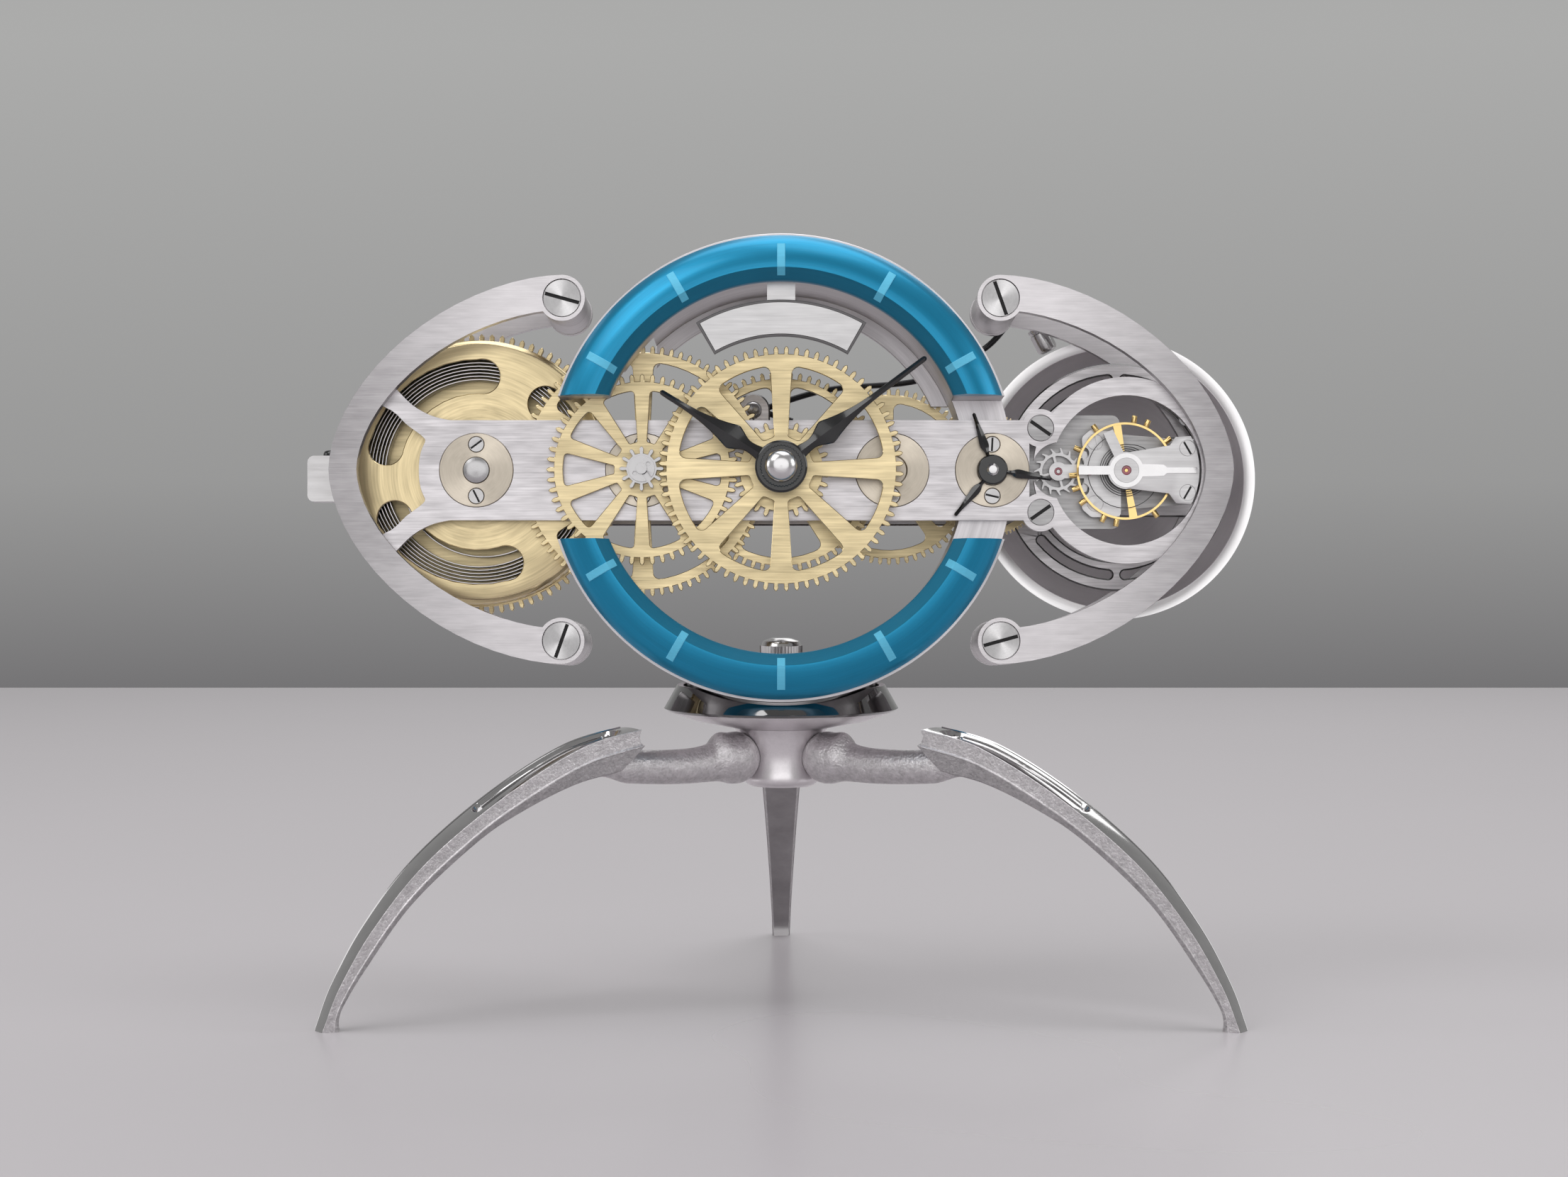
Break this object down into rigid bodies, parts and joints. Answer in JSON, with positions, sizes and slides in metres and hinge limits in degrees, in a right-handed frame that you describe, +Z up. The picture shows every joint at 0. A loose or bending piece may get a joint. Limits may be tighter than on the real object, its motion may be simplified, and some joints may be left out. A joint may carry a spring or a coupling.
{
  "type": "mechanical clock",
  "caption": "Skeleton mechanical mantel clock: open movement with hands, gear train, balance and bell in a round body with bowed arms, on a cast tripod stand.",
  "frame": {"origin": "on the floor, under the middle of the whole clock", "axes": "+X to the right seen from the front, +Y to the rear, +Z up; the hands face -Y"},
  "size_m": [0.2474, 0.1968, 0.1934],
  "materials": {
    "polished_steel": "mirror polished",
    "satin_steel": "fine brushed with polished edges",
    "cast_metal": "fine cast grain with polished top faces",
    "blue_metal": "satin brushed blue",
    "pale_blue": "satin pale blue",
    "silver_plate": "satin, left bare",
    "brass": "fine brushed with polished edges",
    "gold": "polished",
    "nickel": "satin warm nickel",
    "spring_steel": "dark tempered",
    "black_metal": "polished black",
    "ruby": "polished"
  },
  "bodies": {
    "frame": {"stand_hub": "polished_steel", "stand_cup": "polished_steel", "leg_front_left": "cast_metal", "leg_front_right": "cast_metal", "leg_rear": "cast_metal", "clamp_bolt": "polished_steel", "body_ring": "satin_steel", "dial_ring": "blue_metal", "hour_markers": "pale_blue", "name_plate": "silver_plate", "frame_front_left": "satin_steel", "frame_front_right": "satin_steel", "frame_rear_left": "satin_steel", "frame_rear_right": "satin_steel", "frame_posts": "satin_steel", "frame_screws": "satin_steel", "front_plate": "satin_steel", "rear_plate": "satin_steel", "front_bushes": "nickel", "rear_bushes": "nickel", "bush_screws": "satin_steel", "studs": "polished_steel", "platform": "satin_steel", "escapement_bridge": "polished_steel", "balance_cock": "polished_steel", "hairspring": "spring_steel", "jewels": "ruby", "bell": "polished_steel"},
    "barrel": {"barrel_drum": "brass", "barrel_cover": "brass", "mainspring": "spring_steel"},
    "intermediate": {"intermediate_wheel": "brass", "intermediate_arbor": "polished_steel"},
    "centre": {"centre_wheel": "brass", "centre_arbor": "polished_steel", "cannon_gear": "brass", "minute_hand": "black_metal", "hand_nut": "black_metal", "hand_cap": "polished_steel"},
    "third": {"third_wheel": "brass", "third_arbor": "polished_steel"},
    "fourth": {"fourth_wheel": "brass", "fourth_arbor": "polished_steel", "seconds_hand": "black_metal"},
    "escape": {"escape_wheel": "polished_steel"},
    "minute_set": {"minute_wheel": "brass", "minute_pinion": "polished_steel"},
    "hour_set": {"hour_wheel": "brass", "hour_hand": "black_metal"},
    "balance": {"balance_wheel": "gold", "balance_screws": "gold"},
    "pallet": {"pallet_fork": "polished_steel"},
    "winding": {"barrel_arbor": "polished_steel", "ratchet_wheel": "satin_steel", "winding_crank": "polished_steel", "crank_knobs": "black_metal"},
    "click": {"click": "satin_steel"},
    "hammer": {"hammer_arm": "black_metal", "hammer_head": "polished_steel"},
    "regulator": {"regulator": "polished_steel"}
  },
  "joints": [
    {"name": "centre_turn", "type": "hinge", "parent": "frame", "child": "centre", "pos_m": [0, -0.043, 0.1343], "axis": [0, 0.9976, -0.0698], "continuous": true},
    {"name": "barrel_turn", "type": "hinge", "parent": "frame", "child": "barrel", "pos_m": [-0.0767, -0.02804, 0.13325], "axis": [0, 0.9976, -0.0698], "continuous": true},
    {"name": "intermediate_turn", "type": "hinge", "parent": "frame", "child": "intermediate", "pos_m": [-0.0349, -0.02804, 0.13325], "axis": [0, 0.9976, -0.0698], "continuous": true},
    {"name": "third_turn", "type": "hinge", "parent": "frame", "child": "third", "pos_m": [0.0279, -0.02305, 0.1329], "axis": [0, 0.9976, -0.0698], "continuous": true},
    {"name": "fourth_turn", "type": "hinge", "parent": "frame", "child": "fourth", "pos_m": [0.0531, -0.02305, 0.1329], "axis": [0, 0.9976, -0.0698], "continuous": true},
    {"name": "escape_turn", "type": "hinge", "parent": "frame", "child": "escape", "pos_m": [0.0701, -0.02804, 0.13325], "axis": [0, 0.9976, -0.0698], "continuous": true},
    {"name": "minute_wheel_turn", "type": "hinge", "parent": "frame", "child": "minute_set", "pos_m": [-0.0349, -0.04599, 0.13451], "axis": [0, 0.9976, -0.0698], "continuous": true},
    {"name": "hour_wheel_turn", "type": "hinge", "parent": "frame", "child": "hour_set", "pos_m": [0, -0.04998, 0.13479], "axis": [0, 0.9976, -0.0698], "continuous": true},
    {"name": "balance_swing", "type": "hinge", "parent": "frame", "child": "balance", "pos_m": [0.0869, -0.03801, 0.13395], "axis": [0, 0.9976, -0.0698], "range_deg": [-135, 135]},
    {"name": "pallet_swing", "type": "hinge", "parent": "frame", "child": "pallet", "pos_m": [0.078, -0.03602, 0.13381], "axis": [0, 0.9976, -0.0698], "range_deg": [-4.5, 4.5]},
    {"name": "winding_turn", "type": "hinge", "parent": "frame", "child": "winding", "pos_m": [-0.0767, -0.01307, 0.13221], "axis": [0, -0.9976, 0.0698], "range_deg": [0, 1440]},
    {"name": "click_lift", "type": "hinge", "parent": "frame", "child": "click", "pos_m": [-0.0575, -0.00354, 0.13956], "axis": [0, 0.9976, -0.0698], "range_deg": [0, 12]},
    {"name": "hammer_lift", "type": "hinge", "parent": "frame", "child": "hammer", "pos_m": [-0.0073, 0.00261, 0.14855], "axis": [0, -0.9976, 0.0698], "range_deg": [0, 12]},
    {"name": "regulator_turn", "type": "hinge", "parent": "frame", "child": "regulator", "pos_m": [0.0869, -0.0427, 0.13428], "axis": [0, -0.9976, 0.0698], "range_deg": [-12, 12]}
  ],
  "couplings": [
    {"joint": "barrel_turn", "follows": "centre_turn", "ratio": 0.02381},
    {"joint": "intermediate_turn", "follows": "centre_turn", "ratio": -0.125},
    {"joint": "third_turn", "follows": "centre_turn", "ratio": -8},
    {"joint": "fourth_turn", "follows": "centre_turn", "ratio": 60},
    {"joint": "escape_turn", "follows": "centre_turn", "ratio": -720},
    {"joint": "minute_wheel_turn", "follows": "centre_turn", "ratio": -0.5},
    {"joint": "hour_wheel_turn", "follows": "centre_turn", "ratio": 0.083333},
    {"joint": "pallet_swing", "follows": "balance_swing", "ratio": -0.033333}
  ]
}
